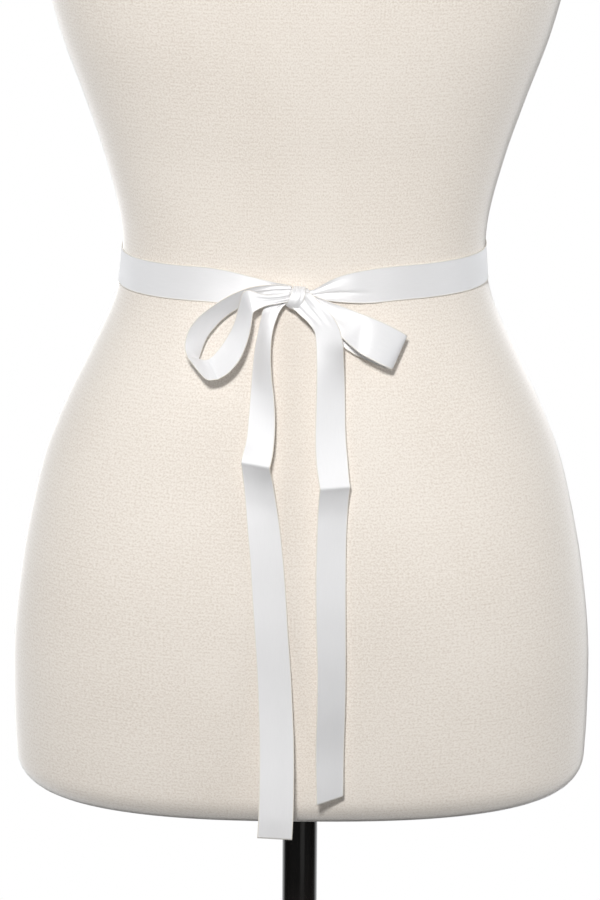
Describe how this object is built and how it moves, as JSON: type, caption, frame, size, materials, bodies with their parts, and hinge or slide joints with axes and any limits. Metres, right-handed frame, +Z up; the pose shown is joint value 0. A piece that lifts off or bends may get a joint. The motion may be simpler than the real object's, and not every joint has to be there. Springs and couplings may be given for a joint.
{
  "type": "rhinestone bridal belt on a dress form",
  "caption": "Satin ribbon belt with a rhinestone band in front, tied in a bow with long tails at the back of a limbless dress form on a pole stand.",
  "frame": {"origin": "middle of the underside of the stand's round base, on the floor", "axes": "+Z up; -Y is the back of the dress form, where the bow is tied; +Y is its front, with the rhinestones; +X is the wearer's right, and the right of someone who looks at the bow"},
  "size_m": [0.4, 0.4, 1.52],
  "materials": {
    "satin_ribbon": "white satin ribbon with a soft sheen and woven edges",
    "rhinestone": "clear faceted rhinestones with silvered backs",
    "form_cover": "matt cream cover with a fine woven grain",
    "stand_metal": "gloss black"
  },
  "bodies": {
    "root": {"waist_ribbon": "satin_ribbon", "bow_knot": "satin_ribbon", "bow_loop_left": "satin_ribbon", "bow_loop_right": "satin_ribbon", "bow_tail_left": "satin_ribbon", "bow_tail_right": "satin_ribbon", "rhinestone_band": "rhinestone", "dress_form": "form_cover", "stand_pole": "stand_metal", "stand_collar": "stand_metal", "stand_base": "stand_metal"}
  },
  "joints": []
}
